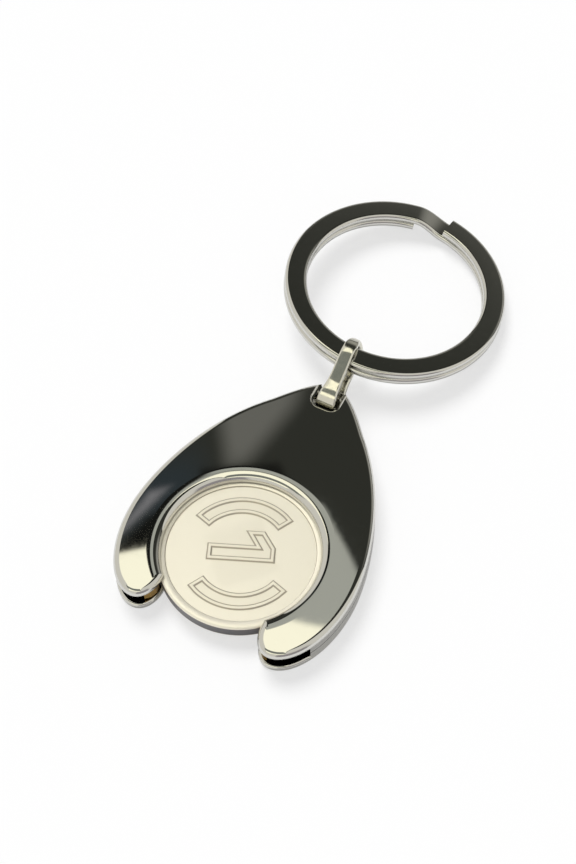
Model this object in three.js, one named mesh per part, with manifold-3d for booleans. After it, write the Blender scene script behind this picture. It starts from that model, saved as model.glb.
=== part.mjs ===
// Coin holder keyring: a polished holder of two shells that keeps a trolley token between its lips, with
// a tapered band link and a flat-wire split ring. Units are millimetres and +Z is up. The holder lies on
// its back with its ring end towards +Y. Its origin is on the back face, between the window and the slot.

import * as THREE from 'three';
import { mergeVertices, toCreasedNormals } from 'three/addons/utils/BufferGeometryUtils.js';
import Module from 'manifold-3d';

const wasm = await Module();
wasm.setup();

// Token
const tokenDiameter = 23.25;
const tokenThickness = 2.33;
const tokenRimWidth = 0.9;
const tokenRimHeight = 0.15;
const tokenEdgeRound = 0.3;

// Holder outline and section, measured from the axis of the token
const holderWidth = 34.3;
const holderThickness = 4.8;
const apexReach = 29.7;
const tipReach = 12.6;
const frontRound = 0.9;
const backRound = 0.3;
const seamGap = 0.3;

// Token pocket, window, dish around the window, and mouth between the tips
const faceClearance = 0.2;
const sideClearance = 0.25;
const lipOverlap = 0.6;
const lipLand = 0.35;
const dishWidth = 1.4;
const mouthWidth = 15.4;
const pocketStraight = 4.2;

// Retaining spring
const springStrip = 0.4;
const springHeight = 1.9;
const springTail = 2.7;

// Slot for the link, and the bar that closes it at the apex
const slotWidth = 3.8;
const slotCorner = 1.1;
const slotRim = 0.45;
const barWidth = 1.9;
const barThickness = 2.2;
const barRound = 0.5;

// Locating pins on the front shell
const pinDiameter = 1.8;
const pinLength = 1.1;
const pinClearance = 0.15;
const pinSpacing = 17.0;
const pinReach = 17.6;

// Split ring
const ringDiameter = 33.0;
const ringWireWidth = 3.3;
const ringLayerThickness = 1.2;
const ringLayerGap = 0.12;
const ringWireRound = 0.45;
const ringStepLength = 4.8;
const ringEndGap = 0.25;

// Link
const linkBand = 0.8;
const linkSpan = 5.85;
const linkClearance = 0.2;
const ringClearance = 0.3;
const linkTopWidth = 2.0;
const linkBaseWidth = 3.0;
const linkCrown = 0.8;
const linkEdge = 0.15;

// Attitudes at rest, in degrees
const linkRise = 22;
const ringRoll = 5;
const ringTurn = 3.5;
const ringYaw = -1.2;
const creaseAngle = 25;

// Room kept between the flat that the holder lies on and the link or ring
const floorClearance = 0.1;

// Working lengths
const overrun = 2.0;
const weld = 0.001;

// Counts
const curveSteps = 14;
const roundSteps = 3;
const circleSteps = 96;
const springSteps = 72;
const ringSteps = 112;

// Right side of the outline as two chains of cubic curves. From the apex to the widest point, a point's
// shares are of the half width and of the reach to the apex.
const flankShares = [
  [[0, 1], [0.166, 1], [0.38, 0.827], [0.435, 0.795]],
  [[0.435, 0.795], [0.85, 0.546], [1, 0.186], [1, 0]],
];
// Round the tip to the mouth they are of the width of the prong, from the mouth out, and of the tip's reach
const tipShares = [
  [[1, 0], [1, -0.578], [0.642, -1], [0.297, -1]],
  [[0.297, -1], [0.095, -1], [0, -0.83], [0, -0.7]],
];
// Tail of the spring beyond its arc, in shares of the tail's length
const springTailShares = [[-0.14, -0.3], [-0.1, -0.66], [0.22, -1]];
// The spring's arc on each side ends this share of a right angle below the token's centre line
const springWrapShare = 0.49;
// The link has narrowed to its upper width at this share of its span
const linkNeckShare = 0.5;

// Worked-out sizes
const halfWidth = holderWidth / 2;
const prongWidth = halfWidth - mouthWidth / 2;
const halfThickness = holderThickness / 2;
const halfPocket = tokenThickness / 2 + faceClearance;
const tokenRadius = tokenDiameter / 2;
const windowRadius = tokenRadius - lipOverlap;
const dishRadius = windowRadius + dishWidth;
const springRadius = tokenRadius + sideClearance + springStrip / 2;
const pocketRadius = springRadius + springStrip / 2 + sideClearance;
const ringSection = 2 * ringLayerThickness + ringLayerGap;
const ringMeanRadius = (ringDiameter - ringWireWidth) / 2;
const cornerReach = Math.hypot(ringWireWidth / 2 - ringWireRound, ringSection / 2 - ringWireRound);
const linkBore = cornerReach + ringWireRound + ringClearance;
const linkRadius = linkBore + linkBand;
const barCentre = apexReach - barWidth / 2;
const slotBottom = barCentre - linkRadius - 2 * linkClearance;
const restReach = (dishRadius + slotBottom) / 2;
const linkHeight = linkRadius + floorClearance;

// Materials

function metal(name, colour, roughness) {
  return new THREE.MeshStandardMaterial({ name, color: colour, metalness: 1, roughness });
}

const plated = metal('nickel plated zinc', '#c9c9c6', 0.08);
const tokenMetal = metal('satin nickel plated steel', '#d9d2bc', 0.35);
const ringMetal = metal('nickel plated spring steel', '#cfcfcd', 0.12);
const linkMetal = metal('nickel plated steel band', '#cdc9bb', 0.16);
const springMetal = metal('brass spring strip', '#c9a456', 0.25);

// Tools for solids

function solidOf(geometry) {
  const bare = geometry.clone();
  bare.deleteAttribute('normal');
  bare.deleteAttribute('uv');
  const merged = mergeVertices(bare, weld);
  const corners = merged.index.array;
  const kept = [];
  for (let i = 0; i < corners.length; i += 3) {
    const [a, b, c] = corners.slice(i, i + 3);
    if (a !== b && b !== c && c !== a) kept.push(a, b, c);
  }
  const vertProperties = Float32Array.from(merged.attributes.position.array);
  return new wasm.Manifold(new wasm.Mesh({ numProp: 3, vertProperties, triVerts: Uint32Array.from(kept) }));
}

function geometryOf(solid) {
  const mesh = solid.getMesh();
  const geometry = new THREE.BufferGeometry();
  geometry.setAttribute('position', new THREE.BufferAttribute(mesh.vertProperties, 3));
  geometry.setIndex(new THREE.BufferAttribute(mesh.triVerts, 1));
  geometry.computeVertexNormals();
  return geometry;
}

function box(low, high) {
  const size = high.clone().sub(low);
  const centre = low.clone().add(high).divideScalar(2);
  return new THREE.BoxGeometry(size.x, size.y, size.z).translate(centre.x, centre.y, centre.z);
}

function prism(shape, bottom, top) {
  const settings = { depth: top - bottom, bevelEnabled: false, curveSegments: curveSteps };
  return new THREE.ExtrudeGeometry(shape, settings).translate(0, 0, bottom);
}

// A prism whose upper and lower edges are rounded, or cut at 45 degrees with one segment
function easedPrism(shape, bottom, top, ease, segments) {
  const geometry = new THREE.ExtrudeGeometry(shape, {
    depth: top - bottom - 2 * ease,
    bevelThickness: ease,
    bevelSize: ease,
    bevelOffset: -ease,
    bevelSegments: segments,
    curveSegments: curveSteps,
  });
  return geometry.translate(0, 0, bottom + ease);
}

// A solid of revolution about Z, from [radius, height] pairs that start and end on the axis
function turned(profile) {
  const points = profile.map(([radius, height]) => new THREE.Vector2(radius, -height));
  return new THREE.LatheGeometry(points.reverse(), circleSteps).rotateX(-Math.PI / 2);
}

function cylinder(radius, bottom, top) {
  return turned([[0, bottom], [radius, bottom], [radius, top], [0, top]]);
}

function roundedRectangle(left, right, bottom, top, corner) {
  const shape = new THREE.Shape();
  shape.moveTo(right, bottom + corner);
  shape.lineTo(right, top - corner);
  shape.absarc(right - corner, top - corner, corner, 0, Math.PI / 2, false);
  shape.lineTo(left + corner, top);
  shape.absarc(left + corner, top - corner, corner, Math.PI / 2, Math.PI, false);
  shape.lineTo(left, bottom + corner);
  shape.absarc(left + corner, bottom + corner, corner, Math.PI, 1.5 * Math.PI, false);
  shape.lineTo(right - corner, bottom);
  shape.absarc(right - corner, bottom + corner, corner, 1.5 * Math.PI, 2 * Math.PI, false);
  return shape;
}

function centredRectangle(width, height, corner) {
  return roundedRectangle(-width / 2, width / 2, -height / 2, height / 2, corner);
}

// Turns a geometry drawn in XY and extruded along Z so that it lies in YZ and runs along X
function stoodOnSide(geometry) {
  const axes = [new THREE.Vector3(0, 1, 0), new THREE.Vector3(0, 0, 1), new THREE.Vector3(1, 0, 0)];
  return geometry.applyMatrix4(new THREE.Matrix4().makeBasis(...axes));
}

function mesh(name, geometry, material) {
  const piece = new THREE.Mesh(toCreasedNormals(geometry, THREE.MathUtils.degToRad(creaseAngle)), material);
  piece.name = name;
  return piece;
}

// Holder shells, drawn with Z measured from the seam plane

function flankPoint([across, along]) {
  return new THREE.Vector2(across * halfWidth, along * apexReach);
}

function tipPoint([across, along]) {
  return new THREE.Vector2(mouthWidth / 2 + across * prongWidth, along * tipReach);
}

function holderShape() {
  const flank = flankShares.map((shares) => new THREE.CubicBezierCurve(...shares.map(flankPoint)));
  const tip = tipShares.map((shares) => new THREE.CubicBezierCurve(...shares.map(tipPoint)));
  const right = [...flank, ...tip].flatMap((curve) => curve.getPoints(curveSteps).slice(1));
  right.push(new THREE.Vector2(mouthWidth / 2, 0));
  const left = right.map((point) => new THREE.Vector2(-point.x, point.y));
  return new THREE.Shape([...right, ...left.reverse()]);
}

function pocketShape() {
  const shape = new THREE.Shape();
  shape.absarc(0, 0, pocketRadius, 0, Math.PI, false);
  shape.lineTo(-pocketRadius, -pocketStraight);
  shape.lineTo(-halfWidth, -tipReach);
  shape.lineTo(-halfWidth, -tipReach - overrun);
  shape.lineTo(halfWidth, -tipReach - overrun);
  shape.lineTo(halfWidth, -tipReach);
  shape.lineTo(pocketRadius, -pocketStraight);
  return shape;
}

function windowCutter() {
  const dishFloor = halfPocket + lipLand;
  const slope = dishWidth / (halfThickness - dishFloor);
  return turned([
    [0, 0],
    [windowRadius, 0],
    [windowRadius, dishFloor],
    [dishRadius + slope * overrun, halfThickness + overrun],
    [0, halfThickness + overrun],
  ]);
}

function slotShape(top, margin) {
  const side = slotWidth / 2 + margin;
  return roundedRectangle(-side, side, slotBottom - margin, top, slotCorner + margin);
}

// The bar across the open end of the slot follows the outline at the apex
function barSolid(body) {
  const bar = prism(centredRectangle(barWidth, barThickness, barRound), -slotWidth, slotWidth);
  return solidOf(stoodOnSide(bar).translate(0, barCentre, 0)).intersect(body);
}

function shellSolid(round) {
  const above = new THREE.Vector3(holderWidth, 2 * apexReach, holderThickness);
  const below = new THREE.Vector3(-holderWidth, -2 * apexReach, seamGap / 2);
  const half = solidOf(box(below, above));
  const body = solidOf(easedPrism(holderShape(), -halfThickness, halfThickness, round, roundSteps));
  const beyondApex = apexReach + slotCorner + overrun;
  const face = halfThickness + overrun;
  const cuts = [
    prism(pocketShape(), -halfPocket, halfPocket),
    windowCutter(),
    prism(slotShape(beyondApex, 0), -halfThickness, face),
    easedPrism(slotShape(beyondApex, slotRim), halfThickness - slotRim, face, slotRim, 1),
  ];
  const opened = cuts.reduce((solid, cut) => solid.subtract(solidOf(cut)), body);
  return opened.add(barSolid(body)).intersect(half);
}

function pinPlaces() {
  return [-pinSpacing / 2, pinSpacing / 2].map((x) => new THREE.Vector3(x, pinReach, 0));
}

function frontShell() {
  const pin = cylinder(pinDiameter / 2, -pinLength - seamGap / 2, seamGap);
  const pins = pinPlaces().map(({ x, y }) => solidOf(pin.clone().translate(x, y, 0)));
  const solid = pins.reduce((shell, one) => shell.add(one), shellSolid(frontRound));
  return mesh('front_shell', geometryOf(solid), plated);
}

// The back shell is the front one turned over, with a crisper edge and with sockets in place of the pins
function backShell() {
  const socket = cylinder(pinDiameter / 2 + pinClearance, 0, pinLength + seamGap / 2 + pinClearance);
  const sockets = pinPlaces().map(({ x, y }) => solidOf(socket.clone().translate(x, y, 0)));
  const solid = sockets.reduce((shell, one) => shell.subtract(one), shellSolid(backRound));
  const piece = mesh('back_shell', geometryOf(solid), plated);
  piece.rotation.y = Math.PI;
  return piece;
}

// Spring, a strip on edge that wraps the token past its widest point and turns out at its ends

function springPath() {
  const wrap = springWrapShare * Math.PI / 2;
  const half = [];
  for (let step = 0; step <= curveSteps; step += 1) {
    const angle = Math.PI / 2 - (step / curveSteps) * (Math.PI / 2 + wrap);
    half.push(new THREE.Vector3(springRadius * Math.cos(angle), springRadius * Math.sin(angle), 0));
  }
  const end = half.at(-1);
  for (const [across, along] of springTailShares) {
    half.push(new THREE.Vector3(end.x + across * springTail, end.y + along * springTail, 0));
  }
  const mirrored = half.slice(1).map((point) => new THREE.Vector3(-point.x, point.y, 0));
  return new THREE.CatmullRomCurve3([...mirrored.reverse(), ...half]);
}

function retainingSpring() {
  const section = new THREE.Shape();
  section.moveTo(-springHeight / 2, -springStrip / 2);
  section.lineTo(springHeight / 2, -springStrip / 2);
  section.lineTo(springHeight / 2, springStrip / 2);
  section.lineTo(-springHeight / 2, springStrip / 2);
  const settings = { steps: springSteps, extrudePath: springPath(), bevelEnabled: false };
  return mesh('retaining_spring', new THREE.ExtrudeGeometry(section, settings), springMetal);
}

// Token with a raised rim on both faces

function token() {
  const half = tokenThickness / 2;
  const field = half - tokenRimHeight;
  const fieldRadius = tokenRadius - tokenEdgeRound - tokenRimWidth;
  const upper = [
    [tokenRadius, half - tokenEdgeRound],
    [tokenRadius - tokenEdgeRound, half],
    [fieldRadius + tokenRimHeight, half],
    [fieldRadius, field],
    [0, field],
  ];
  const lower = upper.map(([radius, height]) => [radius, -height]).reverse();
  return mesh('token', turned([...lower, ...upper]), tokenMetal);
}

// Link, a band loop drawn about the bar's axis with its span along +Y

function stadium(radius) {
  const shape = new THREE.Shape();
  shape.absarc(0, 0, radius, Math.PI / 2, 1.5 * Math.PI, false);
  shape.absarc(linkSpan, 0, radius, -Math.PI / 2, Math.PI / 2, false);
  return shape;
}

function linkPlan() {
  const base = linkBaseWidth / 2;
  const top = linkTopWidth / 2;
  const foot = -linkRadius;
  const neck = linkNeckShare * linkSpan;
  const middle = (foot + neck) / 2;
  const head = linkSpan + linkRadius + linkEdge;
  const shape = new THREE.Shape();
  shape.moveTo(base, foot - overrun);
  shape.lineTo(base, foot);
  shape.bezierCurveTo(base, middle, top, middle, top, neck);
  shape.absarc(top - linkCrown, head - linkCrown, linkCrown, 0, Math.PI / 2, false);
  shape.absarc(linkCrown - top, head - linkCrown, linkCrown, Math.PI / 2, Math.PI, false);
  shape.lineTo(-top, neck);
  shape.bezierCurveTo(-top, middle, -base, middle, -base, foot);
  shape.lineTo(-base, foot - overrun);
  return shape;
}

function link() {
  const half = linkBaseWidth / 2;
  const outer = easedPrism(stadium(linkRadius), -half, half, linkEdge, 1);
  const bore = prism(stadium(linkBore), -half - overrun, half + overrun);
  const loop = solidOf(stoodOnSide(outer)).subtract(solidOf(stoodOnSide(bore)));
  const plan = solidOf(prism(linkPlan(), -linkRadius - overrun, linkRadius + overrun));
  return mesh('link', geometryOf(loop.intersect(plan)), linkMetal);
}

// Split ring, two flat turns joined by a step, with its near side on the origin

class SplitRingPath extends THREE.Curve {
  constructor(radius, pitch, step, gap) {
    super();
    this.radius = radius;
    this.pitch = pitch;
    this.step = step / radius;
    this.gap = gap / radius;
    this.sweepAngle = 4 * Math.PI - this.step - 2 * this.gap;
  }

  getPoint(t, target = new THREE.Vector3()) {
    const gone = t * this.sweepAngle;
    const angle = Math.PI / 2 - this.step / 2 - this.gap - gone;
    const stepStart = (this.sweepAngle - this.step) / 2;
    const fall = THREE.MathUtils.smoothstep(gone, stepStart, stepStart + this.step);
    const height = this.pitch / 2 - this.pitch * fall;
    return target.set(this.radius * Math.cos(angle), this.radius * Math.sin(angle), height);
  }
}

function splitRing() {
  const pitch = ringLayerThickness + ringLayerGap;
  const path = new SplitRingPath(ringMeanRadius, pitch, ringStepLength, ringEndGap);
  const section = centredRectangle(ringLayerThickness, ringWireWidth, ringWireRound);
  const settings = { steps: ringSteps, curveSegments: 1, extrudePath: path, bevelEnabled: false };
  const wire = new THREE.ExtrudeGeometry(section, settings).rotateZ(THREE.MathUtils.degToRad(ringTurn));
  const geometry = geometryOf(solidOf(wire));
  geometry.translate(0, ringMeanRadius, 0).rotateZ(THREE.MathUtils.degToRad(ringYaw));
  geometry.rotateY(THREE.MathUtils.degToRad(ringRoll));
  return mesh('split_ring', geometry, ringMetal);
}

// Assembly

// Height of the ring's lowest point when it droops from the top of the link by the given angle
function lowestRingPoint(droop) {
  const wireHeight = linkHeight + linkSpan * Math.sin(THREE.MathUtils.degToRad(linkRise));
  const upright = Math.cos(THREE.MathUtils.degToRad(ringRoll)) * Math.cos(droop);
  const edgeDrop = (ringDiameter / 2) * Math.sqrt(1 - upright * upright);
  return wireHeight - ringMeanRadius * Math.sin(droop) - edgeDrop - (ringSection / 2) * upright;
}

// The ring droops until it lies on the same flat as the holder's back
function restingDroop() {
  let [held, sunk] = [0, Math.PI / 2];
  while (sunk - held > weld / ringDiameter) {
    const middle = (held + sunk) / 2;
    if (lowestRingPoint(middle) > floorClearance) held = middle;
    else sunk = middle;
  }
  return held;
}

const ringJoint = new THREE.Group();
ringJoint.position.y = linkSpan;
ringJoint.rotation.x = -THREE.MathUtils.degToRad(linkRise) - restingDroop();
ringJoint.add(splitRing());

const linkJoint = new THREE.Group();
linkJoint.position.set(0, barCentre, linkHeight - halfThickness);
linkJoint.rotation.x = THREE.MathUtils.degToRad(linkRise);
linkJoint.add(link(), ringJoint);

const keyring = new THREE.Group();
keyring.position.set(0, -restReach, halfThickness);
keyring.add(frontShell(), backShell(), retainingSpring(), token(), linkJoint);

export default keyring;
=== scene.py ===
"""Looks of the coin holder keyring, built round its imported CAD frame.

The holder's two shells, the token, the link and the split ring are modelled anew with smooth roundings in
the places of their CAD nodes. The retaining spring keeps its CAD solid. Sizes are in millimetres and angles
in degrees, in the CAD frame, and every mesh is written in metres.
"""

import logging
import math
from collections.abc import Callable, Iterator
from contextlib import contextmanager
from dataclasses import dataclass
from enum import Enum

import bpy
from mathutils import Matrix, Vector


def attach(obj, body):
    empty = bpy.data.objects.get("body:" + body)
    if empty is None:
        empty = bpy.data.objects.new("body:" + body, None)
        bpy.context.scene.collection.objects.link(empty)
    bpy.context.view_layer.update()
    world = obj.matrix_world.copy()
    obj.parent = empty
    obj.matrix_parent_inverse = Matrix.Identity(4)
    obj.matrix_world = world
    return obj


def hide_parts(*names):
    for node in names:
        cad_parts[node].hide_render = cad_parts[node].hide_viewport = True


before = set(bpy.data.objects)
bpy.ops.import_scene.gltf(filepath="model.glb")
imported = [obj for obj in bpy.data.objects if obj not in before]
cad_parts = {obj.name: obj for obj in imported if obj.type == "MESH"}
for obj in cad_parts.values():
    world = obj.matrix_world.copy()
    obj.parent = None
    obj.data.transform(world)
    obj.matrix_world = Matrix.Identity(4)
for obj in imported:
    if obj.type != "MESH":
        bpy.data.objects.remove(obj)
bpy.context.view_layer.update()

MM = 0.001
QUARTER = math.pi / 2

# Corners and heights that are nearer to each other than this count as the same
SAME = 1e-4

# Steps of the full turn of a round piece
TURN_STEPS = 192

# The token's axis stands at this Y of the CAD frame, and the holder's seam at this height
TOKEN_AXIS_Y = -18.8886
SEAM_Z = 2.4

log = logging.getLogger("keyring")
logging.basicConfig(level=logging.INFO, format="%(name)s: %(message)s")

Point = tuple[float, float]
Piece = bpy.types.Object
Tree = bpy.types.NodeTree
Socket = bpy.types.NodeSocket


# Modelling tools


class Joining(Enum):
    """Ways in which one solid acts on another."""

    ADD = "UNION"
    CUT = "DIFFERENCE"
    COMMON = "INTERSECT"


class Pick(Enum):
    """Kinds of mesh element that edit mode selects."""

    CORNERS = "VERT"
    EDGES = "EDGE"
    FACES = "FACE"


def deselect_all() -> None:
    """Leave no object selected and no object in edit mode."""
    if bpy.context.object and bpy.context.object.mode != "OBJECT":
        bpy.ops.object.mode_set(mode="OBJECT")
    bpy.ops.object.select_all(action="DESELECT")


def make_active(piece: Piece) -> None:
    """Select one object alone and make it active.

    Args:
        piece: The object.
    """
    deselect_all()
    piece.select_set(True)
    bpy.context.view_layer.objects.active = piece


@contextmanager
def editing(piece: Piece, pick: Pick,
            wanted: Callable[[list[Vector]], bool] | None = None) -> Iterator[None]:
    """Hold a piece in edit mode, with all of it selected or only the edges or faces that pass a test.

    Args:
        piece: A mesh object.
        pick: The kind of element that is selected.
        wanted: Test of the places of an edge's or a face's corners, in millimetres.

    Returns:
        A context, after which the piece is back in object mode.
    """
    make_active(piece)
    bpy.ops.object.mode_set(mode="EDIT")
    bpy.ops.mesh.select_mode(type=pick.value)
    bpy.ops.mesh.select_all(action="DESELECT" if wanted else "SELECT")
    if wanted:
        bpy.ops.object.mode_set(mode="OBJECT")
        places = [vertex.co / MM for vertex in piece.data.vertices]
        for element in piece.data.edges if pick is Pick.EDGES else piece.data.polygons:
            element.select = wanted([places[i] for i in element.vertices])
        bpy.ops.object.mode_set(mode="EDIT")
    yield
    bpy.ops.object.mode_set(mode="OBJECT")


def named(piece: Piece, name: str) -> Piece:
    """Give an object and its mesh the same name.

    Args:
        piece: The object.
        name: Its new name.

    Returns:
        The same object.
    """
    piece.name = name
    piece.data.name = name
    return piece


def copied(piece: Piece) -> Piece:
    """Copy a piece with a mesh of its own.

    Args:
        piece: A mesh object.

    Returns:
        The copy, linked beside it.
    """
    copy = piece.copy()
    copy.data = piece.data.copy()
    bpy.context.collection.objects.link(copy)
    return copy


def placed(piece: Piece, place: Matrix) -> None:
    """Move a mesh itself, by a matrix in metres, so that its object stays at the origin."""
    piece.data.transform(place)
    piece.data.update()


def circle_through(points: list[tuple[float, float, float]], filled: bool) -> Piece:
    """Add a circle primitive and move its corners onto the given points.

    Args:
        points: Corners in millimetres, in order round the outline.
        filled: Whether the outline carries a face.

    Returns:
        The new mesh object, at the origin.
    """
    deselect_all()
    fill = "NGON" if filled else "NOTHING"
    bpy.ops.mesh.primitive_circle_add(vertices=len(points), radius=MM, fill_type=fill, location=(0, 0, 0))
    piece = bpy.context.object
    for vertex, point in zip(piece.data.vertices, points):
        vertex.co = Vector(point) * MM
    return piece


def plate(points: list[Point], bottom: float, top: float) -> Piece:
    """Extrude a flat outline upwards into a closed plate.

    Args:
        points: Outline in millimetres.
        bottom: Height of the lower face in millimetres.
        top: Height of the upper face in millimetres.

    Returns:
        The plate.
    """
    piece = circle_through([(x, y, bottom) for x, y in points], filled=True)
    with editing(piece, Pick.FACES):
        bpy.ops.mesh.extrude_region_move(TRANSFORM_OT_translate={"value": (0, 0, (top - bottom) * MM)})
    return piece


def turned(profile: list[Point]) -> Piece:
    """Spin a profile about the Z axis into a closed solid.

    Args:
        profile: Radius and height of each corner in millimetres, from axis to axis.

    Returns:
        The solid, with its faces outwards.
    """
    piece = circle_through([(radius, 0, height) for radius, height in profile], filled=False)
    with editing(piece, Pick.EDGES, lambda ends: all(end.x == 0 for end in ends)):
        bpy.ops.mesh.delete(type="EDGE_FACE")
        bpy.ops.mesh.select_all(action="SELECT")
        spin(TURN_STEPS, 2 * math.pi, merged=True)
    face_outwards(piece)
    return piece


def eased(share: float) -> float:
    """Ease a share of a way, so that it starts and ends level."""
    return share * share * (3 - 2 * share)


def spin(steps: int, angle: float, merged: bool = False) -> None:
    """Sweep what is picked clockwise about the Z axis, through an angle in radians."""
    bpy.ops.mesh.spin(steps=steps, angle=angle, use_auto_merge=merged, center=(0, 0, 0), axis=(0, 0, 1))


def bevel_picked(size: float, segments: int) -> None:
    """Round the picked edges, or the border of the picked faces, to a radius in millimetres."""
    bpy.ops.mesh.bevel(offset=size * MM, offset_type="OFFSET", segments=segments, profile=0.5, affect="EDGES")


def ease_face_edges(piece: Piece, height: float, size: float, segments: int) -> None:
    """Round the border of a plate's flat face, which is found by its height in millimetres."""
    with editing(piece, Pick.FACES, lambda corners: all(abs(corner.z - height) < SAME for corner in corners)):
        bevel_picked(size, segments)


def face_outwards(piece: Piece) -> None:
    """Merge doubled corners and turn every face outwards.

    Args:
        piece: A closed mesh.
    """
    with editing(piece, Pick.CORNERS):
        bpy.ops.mesh.remove_doubles(threshold=SAME * MM)
        bpy.ops.mesh.normals_make_consistent(inside=False)


def modify(piece: Piece, kind: str, settings: dict[str, object]) -> None:
    """Add a modifier to a piece and apply it.

    Args:
        piece: A mesh object.
        kind: Type name of the modifier.
        settings: Values by the name of the modifier's property.
    """
    make_active(piece)
    modifier = piece.modifiers.new(kind.title(), kind)
    for key, value in settings.items():
        setattr(modifier, key, value)
    bpy.ops.object.modifier_apply(modifier=modifier.name)


def join(piece: Piece, tool: Piece, joining: Joining) -> None:
    """Add, cut or intersect the piece with a tool, which is used up."""
    modify(piece, "BOOLEAN", {"object": tool, "operation": joining.value, "solver": "EXACT"})
    bpy.data.objects.remove(tool)


def smooth(piece: Piece, angle: float) -> None:
    """Shade a piece smoothly up to an angle, with its large flats kept flat.

    Args:
        piece: A finished mesh.
        angle: Edges that turn by more than this many degrees stay sharp.
    """
    make_active(piece)
    bpy.ops.object.shade_smooth_by_angle(angle=math.radians(angle))
    modify(piece, "WEIGHTED_NORMAL", {"keep_sharp": True, "weight": 100})


def rounded_rectangle(half_width: float, bottom: float, top: float, corner: float, steps: int) -> list[Point]:
    """List the outline of a rectangle with round corners, anticlockwise.

    Args:
        half_width: Half the width, which lies evenly about X = 0.
        bottom: Y of the lower side.
        top: Y of the upper side.
        corner: Radius of the corners.
        steps: Steps round each corner.

    Returns:
        The outline's points.
    """
    right, left = half_width - corner, corner - half_width
    centres = [(right, top - corner), (left, top - corner), (left, bottom + corner), (right, bottom + corner)]
    return [
        (x + corner * math.cos((quarter + step / steps) * QUARTER),
         y + corner * math.sin((quarter + step / steps) * QUARTER))
        for quarter, (x, y) in enumerate(centres)
        for step in range(steps + 1)
    ]


# Finishes

WHITE = (1.0, 1.0, 1.0, 1.0)

# Wiping marks are about this long. They begin at the first level of their noise and are full at the second
MARK_LENGTH = 0.8
MARKS_BEGIN, MARKS_FULL = 0.45, 0.8

# From the middle of its height, the painted shade on the relief's sides is full up to the first share and
# gone at the second
FLANK_SHADE_FULL, FLANK_SHADE_NONE = 0.5, 0.98

# The painted shade on the plain edge begins at the first depth under the field, and is full at the second
EDGE_SHADE_BEGINS, EDGE_SHADE_FULL = 0.06, 0.16


def linear(hex_colour: str) -> tuple[float, float, float, float]:
    """Turn an sRGB hex colour into the linear colour that a node takes.

    Args:
        hex_colour: A hash sign and six hexadecimal digits.

    Returns:
        Red, green, blue and a full alpha.
    """
    parts = [int(hex_colour[i:i + 2], 16) / 255 for i in (1, 3, 5)]
    levels = [v / 12.92 if v <= 0.04045 else ((v + 0.055) / 1.055) ** 2.4 for v in parts]
    return (*levels, 1.0)


def add_node(tree: Tree, kind: str, settings: dict | None = None,
             links: dict | None = None) -> bpy.types.Node:
    """Add a node with its settings and the links that enter it.

    Args:
        tree: The node tree.
        kind: Type name of the node, without ShaderNode before it.
        settings: Values by the name of a property or input socket.
        links: Source sockets by the name or number of an input socket.

    Returns:
        The new node.
    """
    node = tree.nodes.new("ShaderNode" + kind)
    for key, value in (settings or {}).items():
        if isinstance(key, str) and hasattr(node, key):
            setattr(node, key, value)
        else:
            node.inputs[key].default_value = value
    for key, source in (links or {}).items():
        tree.links.new(source, node.inputs[key])
    return node


@dataclass(frozen=True)
class Plating:
    """Bright metal with faint wiping marks and the long low waves of a polishing wheel.

    Args:
        name: Name of the finish.
        colour: sRGB hex colour of the metal.
        roughness: Roughness where the metal is cleanest.
        haze: Roughness that the wiping marks add.
        wave: Height of the polishing waves.
        wave_length: Length of the polishing waves.
        metallic: Share of metal in the surface.
    """

    name: str
    colour: str
    roughness: float
    haze: float
    wave: float
    wave_length: float
    metallic: float = 1.0

    def material(self) -> bpy.types.Material:
        """Build the material.

        Returns:
            The new material.
        """
        material = bpy.data.materials.new(self.name)
        material.use_nodes = True
        tree = material.node_tree
        tree.nodes.clear()
        place = add_node(tree, "TexCoord").outputs["Object"]
        marks = add_node(tree, "TexNoise", {"Scale": 1 / (MARK_LENGTH * MM), "Detail": 3.0},
                         {"Vector": place})
        hazy = add_node(tree, "MapRange",
                        {"From Min": MARKS_BEGIN, "From Max": MARKS_FULL, "To Min": self.roughness,
                         "To Max": self.roughness + self.haze}, {"Value": marks.outputs["Fac"]})
        waves = add_node(tree, "TexNoise", {"Scale": 1 / (self.wave_length * MM), "Detail": 1.0},
                         {"Vector": place})
        bump = add_node(tree, "Bump", {"Strength": 1.0, "Distance": self.wave * MM},
                        {"Height": waves.outputs["Fac"]})
        metal = add_node(tree, "BsdfPrincipled",
                         {"Base Color": linear(self.colour), "Metallic": self.metallic},
                         {"Roughness": hazy.outputs["Result"], "Normal": bump.outputs["Normal"]})
        self.paint_shade(tree, place, metal)
        add_node(tree, "OutputMaterial", links={"Surface": metal.outputs["BSDF"]})
        return material

    def paint_shade(self, tree: Tree, place: Socket, metal: bpy.types.Node) -> None:
        """Leave the metal in its own colour, which a finish with painted shade changes."""


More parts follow.
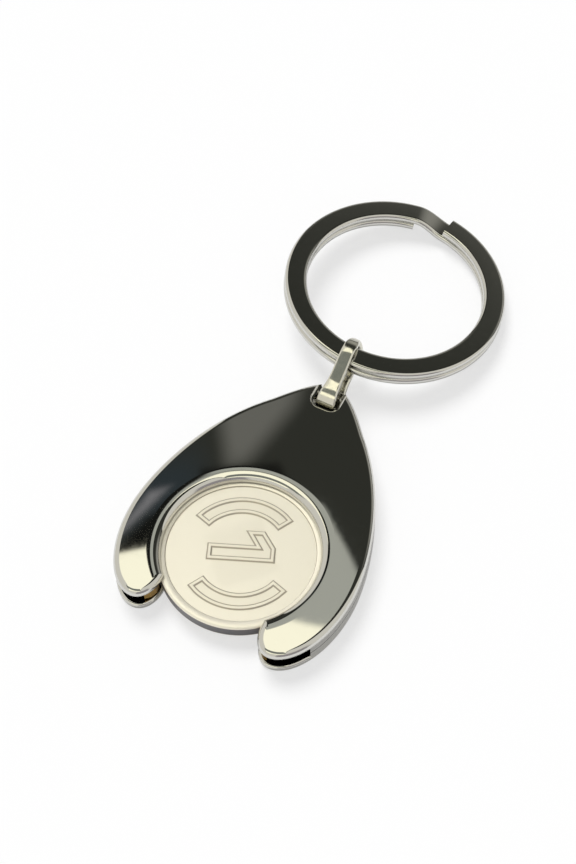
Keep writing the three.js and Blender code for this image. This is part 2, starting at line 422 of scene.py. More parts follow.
@dataclass(frozen=True)
class ShadedStruckPlating(Plating):
    """Plating on a struck blank: satin on its flats, with painted shade on the relief's sides and on the
    plain edge.

    Args:
        shaded: sRGB hex colour of the painted shade on the relief's sides.
        edge: sRGB hex colour of the painted shade on the plain edge.
        field: Height of the field above the middle of the blank.
        crest: Height of the top of the relief above the middle.
        rim: Radius inside which the relief lies.
    """

    shaded: str = "#ffffff"
    edge: str = "#ffffff"
    field: float = 0.0
    crest: float = 1.0
    rim: float = 1.0

    def paint_shade(self, tree: Tree, place: Socket, metal: bpy.types.Node) -> None:
        """Paint shade on the metal between the field's height and the crest's, and on the plain edge below
        the field.

        Args:
            tree: The material's node tree.
            place: Socket with the object coordinates.
            metal: The surface's shader node.
        """
        centre = (0, TOKEN_AXIS_Y * MM, SEAM_Z * MM)
        offset = add_node(tree, "VectorMath", {"operation": "SUBTRACT", 1: centre}, {0: place})
        spot = offset.outputs[0]
        signed = add_node(tree, "SeparateXYZ", links={0: spot}).outputs["Z"]
        height = add_node(tree, "Math", {"operation": "ABSOLUTE"}, {0: signed}).outputs[0]

        # The relief's sides, which take painted shade, are told by their height, between the field's and the
        # crest's
        middle, half = (self.field + self.crest) / 2 * MM, (self.crest - self.field) / 2 * MM
        above = add_node(tree, "Math", {"operation": "SUBTRACT", 1: middle}, {0: height}).outputs[0]
        off = add_node(tree, "Math", {"operation": "ABSOLUTE"}, {0: above}).outputs[0]
        flank_shade = add_node(tree, "MapRange",
                         {"From Min": FLANK_SHADE_FULL * half, "From Max": FLANK_SHADE_NONE * half,
                          "To Min": 1.0, "To Max": 0.0}, {"Value": off})

        # The rim's own sides lie outside the relief and keep their colour
        flat = add_node(tree, "VectorMath", {"operation": "MULTIPLY", 1: (1, 1, 0)}, {0: spot})
        reach = add_node(tree, "VectorMath", {"operation": "LENGTH"}, {0: flat.outputs[0]})
        within = add_node(tree, "Math", {"operation": "LESS_THAN", 1: self.rim * MM},
                          {0: reach.outputs["Value"]})
        share = add_node(tree, "Math", {"operation": "MULTIPLY"},
                         {0: flank_shade.outputs["Result"], 1: within.outputs[0]})
        # Painted shade: the relief's sides are mixed towards grey brown
        relief = add_node(tree, "MixRGB",
                          {"Color1": linear(self.colour), "Color2": linear(self.shaded)},
                          {"Fac": share.outputs[0]})

        # Painted shade: the plain edge below the field is mixed towards dark grey
        low = add_node(tree, "MapRange",
                       {"From Min": (self.field - EDGE_SHADE_FULL) * MM, "To Min": 1.0,
                        "From Max": (self.field - EDGE_SHADE_BEGINS) * MM, "To Max": 0.0}, {"Value": height})
        mixed = add_node(tree, "MixRGB", {"Color2": linear(self.edge)},
                         {"Fac": low.outputs["Result"], "Color1": relief.outputs["Color"]})
        tree.links.new(mixed.outputs["Color"], metal.inputs["Base Color"])


# Polished: a warm grey mirror that shows the room sharply, with barely seen waves
HOLDER_FINISH = Plating("nickel plated zinc polished", "#d1d0cb", roughness=0.02, haze=0.01,
                        wave=0.0002, wave_length=6.0)

# Satin: pale cream with a broad soft sheen, with grey brown painted shade on the relief's sides and dark
# painted shade on the plain edge
TOKEN_FINISH = ShadedStruckPlating("nickel plated steel satin", "#fdf7e4", roughness=0.3, haze=0.05,
                             wave=0.0004, wave_length=2.0, metallic=0.45,
                             shaded="#b0a795", edge="#6c6a6c", field=0.965, crest=1.155, rim=11.2)

# Bright but not buffed: a grey mirror, a little blurred, that wavers along the wire
RING_FINISH = Plating("nickel plated spring steel", "#cfcec9", roughness=0.07, haze=0.05,
                      wave=0.001, wave_length=3.0)

# Uneven from the bending: a blurred mirror broken up by short waves, so that grey and cream alternate
LINK_FINISH = Plating("nickel plated steel band", "#d8d6cb", roughness=0.12, haze=0.12,
                      wave=0.006, wave_length=1.3)

# Rolled brass: a warm gold gloss deep in the slot, without a clear mirror image
SPRING_FINISH = Plating("brass spring strip rolled", "#b08d48", roughness=0.3, haze=0.15,
                        wave=0.004, wave_length=0.7)


def dress(piece: Piece, finish: Plating) -> None:
    """Give a piece one finish all over."""
    piece.data.materials.clear()
    piece.data.materials.append(finish.material())


# Holder


@dataclass
class HolderShell:
    """One of the two shells of the holder, drawn about the token's axis with Z from the seam.

    The front shell lies above the seam. The back shell is the same shape turned over, with crisper edges
    outside and softer ones at the pocket's mouth.

    Args:
        name: Name of the piece.
        node: CAD node that it stands for.
        front: Whether it is the front shell.
    """

    name: str
    node: str
    front: bool

    # Outline, from the token's axis to the apex above and to the two tips below
    half_width: float = 17.15
    half_thickness: float = 2.4
    apex_reach: float = 29.7
    tip_reach: float = 12.6
    mouth_half: float = 7.7
    outline_steps: int = 28

    # Roundings of the outer border and of the pocket's mouth, and the gap between the shells at the seam
    front_round: float = 0.9
    back_round: float = 0.3
    border_steps: int = 12
    front_mouth: float = 0.1
    back_mouth: float = 0.4
    mouth_steps: int = 5
    seam: float = 0.12

    # Pocket for the token
    half_pocket: float = 1.365
    pocket_radius: float = 12.525
    pocket_straight: float = 4.2
    pocket_steps: int = 96

    # Window, with a lip that sinks gently from its brim and rolls over from its edge
    window_radius: float = 11.025
    lip_brim: float = 13.1
    lip_edge: float = 12.0
    lip_swell: float = 28.0
    lip_flare: float = 0.02
    lip_steps: int = 16

    # Slot for the link, whose rim is rounded by a little less than its depth, and the bar that closes it
    slot_half: float = 1.9
    slot_bottom: float = 25.352
    slot_corner: float = 1.1
    slot_rim: float = 0.45
    slot_rim_round: float = 0.441
    bar_width: float = 1.9
    bar_thickness: float = 2.2
    bar_round: float = 0.5

    # Cutters stand out of the shell by this much
    over: float = 2.0

    def knots(self) -> list[tuple[Point, Point, Point]]:
        """Work out the outline's Bezier knots from its width and its reaches.

        Returns:
            Incoming handle, place and outgoing handle of each knot, clockwise from the apex.
        """
        width, apex, tip, mouth = self.half_width, self.apex_reach, self.tip_reach, self.mouth_half
        prong = width - mouth
        # The shares were chosen so that the outline lies on the photo's
        right = [
            ((0.38 * width, 0.827 * apex), (0.435 * width, 0.795 * apex), (0.85 * width, 0.546 * apex)),
            ((width, 0.186 * apex), (width, 0.0), (width, -0.578 * tip)),
            ((mouth + 0.642 * prong, -tip), (mouth + 0.297 * prong, -tip), (mouth + 0.095 * prong, -tip)),
            ((mouth, -0.83 * tip), (mouth, -0.7 * tip), (mouth, -0.5 * tip)),
            ((mouth, -0.2 * tip), (mouth, 0.0), (mouth / 2, 0.0)),
        ]
        left = [tuple((-x, y) for x, y in reversed(knot)) for knot in reversed(right)]
        apex_knot = ((-0.166 * width, apex), (0.0, apex), (0.166 * width, apex))
        return [apex_knot, *right, *left]

    def outline(self) -> Piece:
        """Draw the outline as a Bezier curve at the seam and turn it into a mesh.

        Returns:
            The outline, without a face.
        """
        deselect_all()
        bpy.ops.curve.primitive_bezier_circle_add(radius=MM, location=(0, 0, 0))
        curve = bpy.context.object
        curve.data.dimensions = "2D"
        curve.data.fill_mode = "NONE"
        curve.data.resolution_u = self.outline_steps
        points = curve.data.splines[0].bezier_points
        knots = self.knots()
        points.add(len(knots) - len(points))
        level = self.seam / 2 * MM
        for point, (before, place, after) in zip(points, knots):
            point.handle_left_type = point.handle_right_type = "FREE"
            point.handle_left = (before[0] * MM, before[1] * MM, level)
            point.co = (place[0] * MM, place[1] * MM, level)
            point.handle_right = (after[0] * MM, after[1] * MM, level)
        bpy.ops.object.convert(target="MESH")
        return bpy.context.object

    def body(self) -> Piece:
        """Extrude the outline and round the border of its outer face.

        Returns:
            A closed solid without openings.
        """
        body = self.outline()
        height = self.half_thickness - self.seam / 2
        with editing(body, Pick.CORNERS):
            bpy.ops.mesh.remove_doubles(threshold=SAME * MM)
            bpy.ops.mesh.edge_face_add()
            bpy.ops.mesh.extrude_region_move(TRANSFORM_OT_translate={"value": (0, 0, height * MM)})
        border = self.front_round if self.front else self.back_round
        ease_face_edges(body, self.half_thickness, border, self.border_steps)
        face_outwards(body)
        return body

    def pocket(self) -> Piece:
        """Shape the cutter for this shell's half of the token pocket.

        Returns:
            The cutter, open towards the tips.
        """
        radius, drop, width, tip = self.pocket_radius, self.pocket_straight, self.half_width, self.tip_reach
        turns = [math.pi * i / self.pocket_steps for i in range(self.pocket_steps + 1)]
        arc = [(radius * math.cos(turn), radius * math.sin(turn)) for turn in turns]
        straight = [(-radius, -drop), (-width, -tip), (-width, -tip - self.over),
                    (width, -tip - self.over), (width, -tip), (radius, -drop)]
        cutter = plate(arc + straight, -self.over, self.half_pocket)
        face_outwards(cutter)
        return cutter

    def window(self) -> Piece:
        """Turn the cutter for the window, whose buffed lip sinks gently and then rolls over to its edge.

        Returns:
            The cutter.
        """
        face, swell, steps = self.half_thickness, self.lip_swell, self.lip_steps
        dip = math.asin((self.lip_brim - self.lip_edge) / swell)
        roll = (self.lip_edge - self.window_radius) / (1 - math.sin(dip))
        sunk = face - swell * (1 - math.cos(dip))
        slopes = [dip * i / steps for i in range(steps)]
        gentle = [(self.lip_brim - swell * math.sin(slope), face - swell * (1 - math.cos(slope)))
                  for slope in slopes]
        turns = [dip + (QUARTER - dip) * i / steps for i in range(steps + 1)]
        rolled = [(self.window_radius + roll * (1 - math.sin(turn)),
                   sunk - roll * (math.cos(dip) - math.cos(turn))) for turn in turns]
        foot = [(0.0, -self.over), (self.window_radius, -self.over)]
        top = [(self.lip_brim + self.lip_flare, face + self.over), (0.0, face + self.over)]
        return turned([*foot, *reversed(rolled), *reversed(gentle), *top])

    def slot(self) -> list[Piece]:
        """Shape the cutters for the link's slot and its eased rim.

        Returns:
            The slot's cutter and the rim's.
        """
        beyond = self.apex_reach + self.slot_corner + self.over
        face = self.half_thickness + self.over

        def outline(margin: float) -> list[Point]:
            """List the slot's outline, wider by a margin on every side but the open one."""
            return rounded_rectangle(self.slot_half + margin, self.slot_bottom - margin, beyond,
                                     self.slot_corner + margin, steps=10)

        shaft = plate(outline(0.0), -self.over, face)
        rim_floor = self.half_thickness - self.slot_rim
        rim = plate(outline(self.slot_rim), rim_floor, face)
        ease_face_edges(rim, rim_floor, self.slot_rim_round, segments=4)
        face_outwards(shaft)
        face_outwards(rim)
        return [shaft, rim]

    def bar(self, body: Piece) -> Piece:
        """Shape this shell's half of the bar that closes the slot at the apex.

        Args:
            body: A copy of the solid outline, which trims the bar and is used up.

        Returns:
            The bar's half.
        """
        half_width, half_height = self.bar_width / 2, self.bar_thickness / 2
        section = rounded_rectangle(half_width, -half_height, half_height, self.bar_round, steps=6)
        bar = plate(section, -2 * self.slot_half, 2 * self.slot_half)
        centre = self.apex_reach - half_width
        lying = Matrix(((0, 0, 1, 0), (1, 0, 0, centre * MM), (0, 1, 0, 0), (0, 0, 0, 1)))
        placed(bar, lying)
        face_outwards(bar)
        join(bar, body, Joining.COMMON)
        return bar

    def ease_mouth(self, shell: Piece) -> None:
        """Round the edge that the pocket's mouth leaves on the outer wall at the tips.

        Args:
            shell: The shell, with its pocket and window cut.
        """
        corner = Vector((self.pocket_radius, -self.pocket_straight))
        along = (Vector((self.half_width, -self.tip_reach)) - corner).normalized()
        level_slack, window_margin, flank_margin = 0.001, 0.1, 0.02

        def at_mouth(ends: list[Vector]) -> bool:
            """Tell whether an edge lies on the outer wall at the pocket's mouth.

            Args:
                ends: Places of its two ends.

            Returns:
                False for edges off the pocket's level, at the window or on the pocket's own straight flanks.
            """
            here, there = ends
            if max(abs(here.z - self.half_pocket), abs(there.z - self.half_pocket)) > level_slack:
                return False
            middle = (here.xy + there.xy) / 2
            outwards = Vector((abs(middle.x), middle.y)) - corner
            off_flank = abs(along.x * outwards.y - along.y * outwards.x)
            return (middle.y < -self.pocket_straight and middle.length > self.window_radius + window_margin
                    and off_flank > flank_margin)

        with editing(shell, Pick.EDGES, at_mouth):
            bevel_picked(self.front_mouth if self.front else self.back_mouth, self.mouth_steps)

    def build(self) -> Piece:
        """Model the shell and put it on its side of the seam.

        Returns:
            The finished shell.
        """
        shell = self.body()
        trimmer = copied(shell)
        for cutter in (self.pocket(), self.window(), *self.slot()):
            join(shell, cutter, Joining.CUT)
        self.ease_mouth(shell)
        join(shell, self.bar(trimmer), Joining.ADD)
        turn = Matrix.Identity(4) if self.front else Matrix.Rotation(math.pi, 4, "Y")
        placed(shell, Matrix.Translation((0, TOKEN_AXIS_Y * MM, SEAM_Z * MM)) @ turn)
        face_outwards(shell)
        smooth(shell, angle=28)
        return named(shell, self.name)

    def add(self) -> Piece:
        """Build the shell, dress it and seat it in the frame.

        Returns:
            The shell.
        """
        shell = self.build()
        dress(shell, HOLDER_FINISH)
        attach(shell, "holder")
        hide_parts(self.node)
        return shell


# Token


@dataclass
class Token:
    """The trolley token, with raised rims and, on both faces, a plain outlined numeral between two arcs."""

    radius: float = 11.625
    half_thickness: float = 1.165
    edge_round: float = 0.3
    edge_steps: int = 5

    # Raised rim, whose inner side falls in a steep slope with a soft top and a hollow foot
    rim_width: float = 0.9
    rim_height: float = 0.2
    rim_slope: float = 0.16
    rim_top_drop: float = 0.03
    rim_foot_rise: float = 0.02
    rim_foot_width: float = 0.1

    # Ridge that outlines the numeral and the arcs, and how far its foot is set into the face
    ridge_root: float = 0.2
    ridge_height: float = 0.19
    ridge_flank: float = 0.26
    ridge_crest: float = 0.3

    # The ridge's outer foot lies this far under the field, and the floor inside the ridge this far above it
    hidden: float = 0.002

    # Numeral 1, drawn upright about the token's axis and then turned
    stem_half: float = 1.35
    numeral_half: float = 4.8
    flag_start: float = 1.0
    flag_reach: float = 3.6
    flag_tip: float = 3.1
    flag_foot: float = 0.3
    flag_root: float = 1.7
    numeral_turn: float = -68.0

    # Arcs on both sides of the numeral
    arc_radius: float = 6.1
    arc_width: float = 2.7
    arc_half_turn: float = 52.0
    arc_steps: int = 22
    arc_end_turn: float = 9.5

    def blank(self) -> Piece:
        """Turn the token's blank with its raised rims.

        Returns:
            The blank.
        """
        half, ease, steps = self.half_thickness, self.edge_round, self.edge_steps
        field = half - self.rim_height
        inner = self.radius - ease - self.rim_width
        edge = [(self.radius - ease + ease * math.cos(QUARTER * i / steps),
                 half - ease + ease * math.sin(QUARTER * i / steps)) for i in range(steps + 1)]
        upper = [*edge, (inner + self.rim_slope, half),
                 (inner + self.rim_slope / 2, half - self.rim_top_drop),
                 (inner, field + self.rim_foot_rise), (inner - self.rim_foot_width, field), (0.0, field)]
        lower = [(radius, -height) for radius, height in reversed(upper)]
        return turned([*lower, *upper])

    def root_level(self) -> float:
        """Give the height at which the ridges start, inside the blank."""
        return self.half_thickness - self.rim_height - self.ridge_root

    def numeral(self) -> Piece:
        """Lay out the numeral 1, drawn upright, as a flat face.

        Returns:
            The face, at the ridges' root.
        """
        stem, top, reach = self.stem_half, self.numeral_half, self.flag_reach
        corners = [(-stem, -top), (stem, -top), (stem, top), (-self.flag_start, top),
                   (-reach, self.flag_tip), (-reach, self.flag_foot), (-stem, self.flag_root)]
        return circle_through([(x, y, self.root_level()) for x, y in corners], filled=True)

    def arc(self) -> Piece:
        """Lay out the arc beside the numeral as a flat strip.

        Returns:
            The strip, at the ridges' root.
        """
        start = math.radians(self.arc_half_turn)
        across = [self.arc_radius, self.arc_radius + self.arc_width]
        inner, outer = [(r * math.cos(start), r * math.sin(start), self.root_level()) for r in across]
        strip = circle_through([inner, outer, inner], filled=False)
        with editing(strip, Pick.CORNERS):
            bpy.ops.mesh.remove_doubles(threshold=SAME * MM)
            # The end steps are longer than the ridge is wide, so that its corners are free to turn
            ends = self.arc_end_turn
            for steps, turn in ((1, ends), (self.arc_steps, 2 * (self.arc_half_turn - ends)), (1, ends)):
                spin(steps, math.radians(turn))
        return strip

    def raised(self, flat: Piece) -> Piece:
        """Raise a ridge along the border of a flat shape, with the field's level left inside it.

        Args:
            flat: A flat mesh at the ridges' root, which becomes the ridge.

        Returns:
            A closed solid, set into the token's face.
        """
        rise = self.ridge_root - self.hidden
        top = self.root_level() + rise
        with editing(flat, Pick.FACES):
            bpy.ops.mesh.extrude_region_move(TRANSFORM_OT_translate={"value": (0, 0, rise * MM)})
        face_outwards(flat)
        with editing(flat, Pick.FACES, lambda corners: all(abs(corner.z - top) < SAME for corner in corners)):
            bpy.ops.mesh.inset(thickness=self.ridge_flank * MM, depth=self.ridge_height * MM)
            bpy.ops.mesh.inset(thickness=self.ridge_crest * MM)
            fall = self.ridge_height - 2 * self.hidden
            bpy.ops.mesh.inset(thickness=self.ridge_flank * MM, depth=-fall * MM)
        return flat

    def relief(self) -> list[Piece]:
        """Model the numeral and the two arcs that flank it.

        Returns:
            Three closed solids, set into the upper face.
        """
        arc = self.raised(self.arc())
        opposite = copied(arc)
        placed(opposite, Matrix.Rotation(math.pi, 4, "Z"))
        return [self.raised(self.numeral()), arc, opposite]

    def build(self) -> Piece:
        """Model the token in its pocket.

        Returns:
            The finished token.
        """
        token = self.blank()
        reliefs = []
        for turn_over in (Matrix.Identity(4), Matrix.Rotation(math.pi, 4, "Y")):
            for part in self.relief():
                placed(part, turn_over @ Matrix.Rotation(math.radians(self.numeral_turn), 4, "Z"))
                face_outwards(part)
                reliefs.append(part)
        make_active(token)
        for part in reliefs:
            part.select_set(True)
        bpy.ops.object.join()
        placed(token, Matrix.Translation((0, TOKEN_AXIS_Y * MM, SEAM_Z * MM)))
        face_outwards(token)
        smooth(token, angle=30)
        return named(token, "token_struck")

    def add(self) -> Piece:
        """Build the token, dress it and seat it in the frame.

        Returns:
            The token.
        """
        token = self.build()
        dress(token, TOKEN_FINISH)
        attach(token, "token")
        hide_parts("token")
        return token


# Link


@dataclass
class BandLink:
    """The closed band loop that joins the holder's bar to the split ring.

    It is drawn with its long axis along Y, from its tail round the bar at the origin to its head.
    """

    # Place of the bar's axis as Y and Z, the link's rise at rest, and the distance between its two bends
    hinge: Point = (9.8614, 3.0978)
    rise: float = 22.0
    span: float = 5.85

    # Inner radius of the bends, the band's thickness, and how far edges past an angle are rounded
    bore: float = 2.1978
    band: float = 0.8
    edge: float = 0.28
    edge_steps: int = 4
    edge_angle: float = 50.0

    # Half width from the tail to the neck and on to the head, whose end is rounded off as a crown
    tail_half: float = 1.5
    head_half: float = 1.0
    neck_share: float = 0.5
    crown_length: float = 1.7
    crown_depth: float = 0.5

    # How far the runs are drawn in at the waist, and where it lies from tail to head
    waist: float = 0.28
    waist_share: float = 0.3

    bend_steps: int = 40
    run_steps: int = 24

    def half_width_at(self, reach: float) -> float:
        """Give the band's half width.

        Args:
            reach: Place along the link, from its tail to its head.

        Returns:
            The half width there.
        """
        foot = -self.bore - self.band
        neck = self.neck_share * self.span
        fall = eased(min(max((reach - foot) / (neck - foot), 0.0), 1.0))
        past = max(reach - (self.span + self.bore + self.band - self.crown_length), 0.0) / self.crown_length
        crown = self.crown_depth * (1 - math.sqrt(max(1 - past * past, 0.0)))
        return self.tail_half + (self.head_half - self.tail_half) * fall - crown

    def side_at(self, share: float) -> float:
        """Give the outer skin's distance from the long axis on a run, which is drawn in at the waist.

        Args:
            share: Share of the way along the run, from tail to head.

        Returns:
            The distance.
        """
        middle = self.waist_share
        turn = share / middle if share < middle else 1 + (share - middle) / (1 - middle)
        return self.bore + self.band - self.waist * math.sin(QUARTER * turn) ** 2

    def skin(self) -> list[Point]:
        """List the outer skin's path round the loop as Y and Z.

        Returns:
            The points, anticlockwise from the top of the tail.
        """
        radius, along = self.bore + self.band, self.run_steps
        turns = [QUARTER + math.pi * i / self.bend_steps for i in range(self.bend_steps + 1)]
        tail = [(radius * math.cos(turn), radius * math.sin(turn)) for turn in turns]
        lower = [(self.span * i / along, -self.side_at(i / along)) for i in range(1, along)]
        head = [(self.span + radius * math.cos(turn - math.pi), radius * math.sin(turn - math.pi))
                for turn in turns]
        upper = [(self.span * i / along, self.side_at(i / along)) for i in range(along - 1, 0, -1)]
        return [*tail, *lower, *head, *upper]

    def build(self) -> Piece:
        """Model the band loop and lay it at its attitude of rest.

        Returns:
            The finished link.
        """
        # The strip is made one millimetre wide to each side and then takes the half width of each place
        loop = circle_through([(-1.0, y, z) for y, z in self.skin()], filled=False)
        with editing(loop, Pick.CORNERS):
            bpy.ops.mesh.extrude_region_move(TRANSFORM_OT_translate={"value": (2 * MM, 0, 0)})
            bpy.ops.mesh.select_all(action="SELECT")
            bpy.ops.mesh.normals_make_consistent(inside=False)
        for vertex in loop.data.vertices:
            vertex.co.x *= self.half_width_at(vertex.co.y / MM)
        modify(loop, "SOLIDIFY", {"thickness": self.band * MM, "offset": -1, "use_even_offset": True})
        modify(loop, "BEVEL", {"width": self.edge * MM, "segments": self.edge_steps,
                               "limit_method": "ANGLE", "angle_limit": math.radians(self.edge_angle)})
        hinge_y, hinge_z = self.hinge
        place = Matrix.Translation((0, hinge_y * MM, hinge_z * MM))
        placed(loop, place @ Matrix.Rotation(math.radians(self.rise), 4, "X"))
        face_outwards(loop)
        smooth(loop, angle=40)
        return named(loop, "band_link")

    def add(self) -> Piece:
        """Build the link, dress it and seat it in the frame.

        Returns:
            The link.
        """
        link = self.build()
        dress(link, LINK_FINISH)
        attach(link, "link")
        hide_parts("link")
        return link


# Split ring


@dataclass
class SplitRing:
    """The split ring, two flat turns of rounded wire with a step from one to the other."""

    # Where the wire's middle passes through the link's head, as Y and Z, and the ring's attitude there
    near_side: Point = (15.2854, 5.2892)
    droop: float = 6.31
    yaw: float = -1.2
    roll: float = 5.0

    # Place of the step, as a turn from the far side
    step_turn: float = 3.5

    diameter: float = 33.0
    wire_width: float = 3.3
    wire_round: float = 0.57
    wire_steps: int = 8
    layer: float = 1.2
    layer_gap: float = 0.12
    step_length: float = 4.8
    end_gap: float = 0.25
    plain_steps: int = 150
    step_steps: int = 20

    def wound(self) -> Piece:
        """Wind the wire about the origin: a plain turn, the step down and a second plain turn.

        Returns:
            The ring, closed at both ends of its wire.
        """
        mean = self.mean_radius()
        pitch = self.layer + self.layer_gap
        step, gap = self.step_length / mean, self.end_gap / mean
        plain = 2 * math.pi - step - gap
        section = rounded_rectangle(self.wire_width / 2, -self.layer / 2, self.layer / 2, self.wire_round,
                                    self.wire_steps)
        start = QUARTER - step / 2 - gap + math.radians(self.step_turn)
        first = [((mean + u) * math.cos(start), (mean + u) * math.sin(start), v + pitch / 2)
                 for u, v in section]
        ring = circle_through(first, filled=False)
        with editing(ring, Pick.CORNERS):
            spin(self.plain_steps, plain)
            fallen = 0.0
            for i in range(1, self.step_steps + 1):
                fall = pitch * eased(i / self.step_steps)
                spin(1, step / self.step_steps)
                bpy.ops.transform.translate(value=(0, 0, (fallen - fall) * MM))
                fallen = fall
            spin(self.plain_steps, plain)
            bpy.ops.mesh.edge_face_add()
            bpy.ops.mesh.select_all(action="DESELECT")
        for vertex in ring.data.vertices[:len(section)]:
            vertex.select = True
        bpy.ops.object.mode_set(mode="EDIT")
        bpy.ops.mesh.edge_face_add()
        bpy.ops.object.mode_set(mode="OBJECT")
        return ring

    def mean_radius(self) -> float:
        """Give the radius of the wire's middle."""
        return (self.diameter - self.wire_width) / 2

    def build(self) -> Piece:
        """Wind the ring and lay it at its attitude of rest, with its near side in the link's head.

        Returns:
            The finished ring.
        """
        ring = self.wound()
        near_y, near_z = self.near_side
        place = (
            Matrix.Translation((0, near_y * MM, near_z * MM))
            @ Matrix.Rotation(math.radians(-self.droop), 4, "X")
            @ Matrix.Rotation(math.radians(self.roll), 4, "Y")
            @ Matrix.Rotation(math.radians(self.yaw), 4, "Z")
            @ Matrix.Translation((0, self.mean_radius() * MM, 0))
        )
        placed(ring, place)
        face_outwards(ring)
        smooth(ring, angle=40)
        return named(ring, "split_ring_wound")

    def add(self) -> Piece:
        """Build the ring, dress it and seat it in the frame.

        Returns:
            The ring.
        """
        ring = self.build()
        dress(ring, RING_FINISH)
        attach(ring, "split_ring")
        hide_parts("split_ring")
        return ring


# Studio


@dataclass(frozen=True)
class Panel:
    """A flat thing that stands or hangs in the room, seen from the object as a convex polygon.

    Args:
        name: What it is.
        colour: sRGB hex colour of the light that comes from it.
        corners: Azimuth from +Y towards +X and elevation of each corner, in order round it.
        soft: Width of its blurred border.
        rounding: Rounding of its corners.
    """

    name: str
    colour: str
    corners: tuple[Point, ...]
    soft: float
    rounding: float = 0.0

    def directions(self) -> list[Vector]:
        """List the unit vectors to the corners.

        Returns:
            One vector for each corner.
        """
        angles = [(math.radians(azimuth), math.radians(elevation)) for azimuth, elevation in self.corners]
        return [Vector((math.sin(a) * math.cos(e), math.cos(a) * math.cos(e), math.sin(e)))
                for a, e in angles]

    def over(self, tree: Tree, direction: Socket, behind: Socket) -> Socket:
        """Lay the panel over what stands behind it.

        Args:
            tree: The world's node tree.
            direction: Socket with the direction that is looked in.
            behind: Socket with the colour behind the panel.

        Returns:
            Socket with the colour after the panel.
        """
        corners = self.directions()
        middle = sum(corners, Vector())
        inside = None
        for here, there in zip(corners, corners[1:] + corners[:1]):
            edge = here.cross(there).normalized()
            edge = edge if edge.dot(middle) > 0 else -edge
            product = add_node(tree, "VectorMath", {"operation": "DOT_PRODUCT", 1: edge},
                               {0: direction})
            reach = product.outputs["Value"]
            if inside is None:
                inside = reach
            else:
                inside = add_node(tree, "Math",
                                  {"operation": "SMOOTH_MIN", 2: math.radians(self.rounding)},
                                  {0: inside, 1: reach}).outputs[0]
        share = add_node(tree, "MapRange",
                         {"interpolation_type": "SMOOTHSTEP", "From Min": 0.0,
                          "From Max": math.radians(self.soft)}, {"Value": inside})
        mixed = add_node(tree, "MixRGB", {"Color2": linear(self.colour)},
                         {"Fac": share.outputs["Result"], "Color1": behind})
        return mixed.outputs["Color"]


# What the polished metal mirrors, each panel laid over those before it
PANELS = (
    Panel("dark wall behind", "#2d2e2a", ((-44, 62.6), (-47, -3), (54, -3), (57, 60), (60, 86)), 1.5),
    Panel("wall low down", "#93928c", ((-42, 36), (-43, -2), (56, -2), (58, 36)), 24.0),
    Panel("left of the wall", "#2b3236", ((-41, 62.4), (-42.5, 59), (-33, 58.4), (-32, 61.5)), 1.5, 1.0),
    Panel("blind", "#62625e",
          ((-33.3, 60.3), (-31.3, 60.3), (-27.4, 58.2), (-26.8, 55), (-33.6, 55)), 0.8, 0.5),
    Panel("foot of the blind", "#191917", ((-34.4, 59.7), (-29.2, 59.7), (-28, 61.2), (-35, 61.2)), 0.3, 0.2),
    Panel("blind, far slat", "#747478",
          ((-35.4, 60.1), (-37.5, 60.15), (-40, 61.2), (-40, 61.7), (-36.2, 60.45)), 0.3, 0.1),
    Panel("edge of the blind", "#121311",
          ((-39.9, 61.5), (-37.4, 60.75), (-35, 60.6), (-35, 63), (-39.9, 63)), 0.35, 0.2),
    Panel("frame of the ceiling light", "#0f100e",
          ((-41.6, 61.6), (-26.6, 60.9), (-24.2, 62.9), (70, 83), (140, 38), (-154, 34)), 0.25, 0.3),
    Panel("ceiling light", "#fdfae4",
          ((-41.6, 61.85), (-26.7, 61.3), (-24.6, 63.1), (70, 84), (140, 40), (-154, 34.6)), 0.15, 0.4),
    Panel("far end of the frame", "#151614",
          ((-38.5, 61.86), (-31.4, 63.89), (-26.3, 61.24), (-31.6, 60.23), (-38.3, 61.02)), 0.3, 0.2),
    Panel("dull side of the light", "#9ea099",
          ((-33.6, 61.0), (-26.7, 61.0), (-24.2, 63.1), (-20, 67), (-29.5, 64.75), (-31.8, 64.5)), 0.25, 0.3),
    Panel("camera and hands", "#70736e", ((125, 82), (-85, 82), (-105, 60), (-135, 46), (135, 46)), 1.5, 1.0),
    Panel("camera side", "#8a8688", ((100, 38), (100, -8), (170, -8), (165, 38)), 10.0),
)


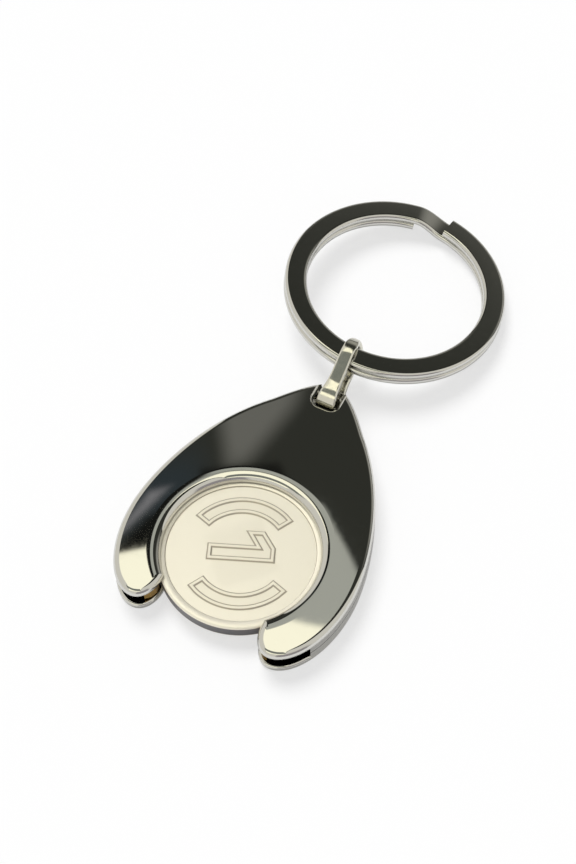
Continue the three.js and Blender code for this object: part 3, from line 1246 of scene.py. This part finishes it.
@dataclass(frozen=True)
class Studio:
    """Camera, soft light, pale floor and the room that the metal mirrors."""

    # The camera looks from this side at the target, which shows at this pixel of the picture
    target: tuple[float, float, float] = (4.0, 10.0, 2.0)
    azimuth: float = 28.295
    elevation: float = 61.379
    roll: float = -1.916
    distance: float = 266.204
    focal_pixels: float = 1900.0
    target_pixel: Point = (299.57, 511.8)
    picture: tuple[int, int] = (576, 864)
    sensor: float = 36.0

    # Floor, and how much of it glows for the camera and for a mirror
    floor_size: float = 3000.0
    paper: str = "#fdfdfd"
    paper_glow: float = 0.6
    mirrored_glow: float = 0.1

    # Colour of the room outside the panels, the level of the light all round and that of what is mirrored
    walls: str = "#c6c4bd"
    level: float = 0.46
    gleam: float = 1.5

    # Key light: strength, azimuth and elevation, and angular size
    key: float = 2.1
    key_from: Point = (-50.0, 55.0)
    key_softness: float = 30.0

    def camera(self) -> None:
        """Set the camera at the photograph's viewing angle."""
        azimuth, elevation, roll = (math.radians(v) for v in (self.azimuth, self.elevation, self.roll))
        look = Vector((-math.sin(azimuth) * math.cos(elevation), math.cos(azimuth) * math.cos(elevation),
                       -math.sin(elevation)))
        side = Vector((math.cos(azimuth), math.sin(azimuth), 0))
        up = side.cross(look)
        right = math.cos(roll) * side + math.sin(roll) * up
        above = -math.sin(roll) * side + math.cos(roll) * up
        eye = Vector(self.target) + Vector((0, TOKEN_AXIS_Y, 0)) - look * self.distance
        data = bpy.data.cameras.new("camera")
        camera = bpy.data.objects.new("camera", data)
        bpy.context.collection.objects.link(camera)
        turn = Matrix((right, above, -look)).transposed().to_4x4()
        camera.matrix_world = Matrix.Translation(eye * MM) @ turn
        width, height = self.picture
        data.sensor_fit = "AUTO"
        data.sensor_width = self.sensor
        data.lens = self.focal_pixels / height * self.sensor
        data.shift_x = (width / 2 - self.target_pixel[0]) / height
        data.shift_y = (self.target_pixel[1] - height / 2) / height
        data.clip_start = 0.01
        bpy.context.scene.camera = camera

    def room(self) -> None:
        """Set the world: white for the camera, plain light for rough surfaces, the panels for mirrors."""
        world = bpy.data.worlds.new("studio")
        bpy.context.scene.world = world
        world.use_nodes = True
        tree = world.node_tree
        tree.nodes.clear()
        direction = add_node(tree, "TexCoord").outputs["Generated"]
        walls = add_node(tree, "RGB")
        walls.outputs[0].default_value = linear(self.walls)
        seen = walls.outputs[0]
        for panel in PANELS:
            seen = panel.over(tree, direction, seen)
        plain = add_node(tree, "Background", {"Color": WHITE, "Strength": self.level})
        mirrored = add_node(tree, "Background", {"Strength": self.gleam}, {"Color": seen})
        rays = add_node(tree, "LightPath")
        mixed = add_node(tree, "MixShader", links={
            0: rays.outputs["Is Glossy Ray"], 1: plain.outputs[0], 2: mirrored.outputs[0]})
        backdrop = add_node(tree, "Background", {"Color": WHITE, "Strength": 1.0})
        looked_at = add_node(tree, "Math", {"operation": "MAXIMUM"},
                             {0: rays.outputs["Is Camera Ray"], 1: rays.outputs["Is Transmission Ray"]})
        shown = add_node(tree, "MixShader",
                         links={0: looked_at.outputs[0], 1: mixed.outputs[0], 2: backdrop.outputs[0]})
        add_node(tree, "OutputWorld", links={"Surface": shown.outputs[0]})

    def paper_material(self) -> bpy.types.Material:
        """Mix matt white paper with a glow that lets the floor fade into the white behind it.

        Returns:
            The floor's material, which still takes the object's shadow.
        """
        paper = bpy.data.materials.new("white paper sweep")
        paper.use_nodes = True
        tree = paper.node_tree
        surface = tree.nodes["Principled BSDF"]
        surface.inputs["Base Color"].default_value = linear(self.paper)
        surface.inputs["Roughness"].default_value = 1.0
        surface.inputs["Specular IOR Level"].default_value = 0.0
        rays = add_node(tree, "LightPath")
        through = add_node(tree, "Math", {"operation": "MAXIMUM"},
                           {0: rays.outputs["Is Glossy Ray"], 1: rays.outputs["Is Transmission Ray"]})
        mirrored = add_node(tree, "Math", {"operation": "MULTIPLY", 1: self.mirrored_glow},
                            {0: through.outputs[0]})
        share = add_node(tree, "Math", {"operation": "MULTIPLY_ADD", 1: self.paper_glow},
                         {0: rays.outputs["Is Camera Ray"], 2: mirrored.outputs[0]})
        white = add_node(tree, "Emission", {"Color": WHITE, "Strength": 1.0})
        mixed = add_node(tree, "MixShader",
                         links={0: share.outputs[0], 1: surface.outputs[0], 2: white.outputs[0]})
        tree.links.new(mixed.outputs[0], tree.nodes["Material Output"].inputs["Surface"])
        return paper

    def floor(self) -> None:
        """Lay the pale floor."""
        deselect_all()
        bpy.ops.mesh.primitive_plane_add(size=self.floor_size * MM, location=(0, 0, 0))
        floor = named(bpy.context.object, "floor")
        floor.data.materials.append(self.paper_material())

    def key_light(self) -> None:
        """Hang the broad soft key light at the upper left, where only rough surfaces see it."""
        data = bpy.data.lights.new("key", "SUN")
        data.energy = self.key
        data.angle = math.radians(self.key_softness)
        light = bpy.data.objects.new("key", data)
        light.visible_glossy = False
        bpy.context.collection.objects.link(light)
        azimuth, elevation = (math.radians(v) for v in self.key_from)
        light.rotation_euler = (QUARTER - elevation, 0, math.pi - azimuth)

    def set_up(self) -> None:
        """Set up the whole studio."""
        bpy.context.scene.view_settings.view_transform = "Standard"
        self.camera()
        self.room()
        self.key_light()
        self.floor()


def main() -> None:
    """Build the studio and the keyring's pieces, and report each piece."""
    Studio().set_up()
    makers = [
        HolderShell("holder_front", "front_shell", front=True),
        HolderShell("holder_back", "back_shell", front=False),
        Token(),
        BandLink(),
        SplitRing(),
    ]
    for maker in makers:
        piece = maker.add()
        log.info("%s: %d faces", piece.name, len(piece.data.polygons))
    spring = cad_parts["retaining_spring"]
    dress(spring, SPRING_FINISH)
    log.info("%s keeps its CAD solid", spring.name)


if __name__ == "__main__":
    main()
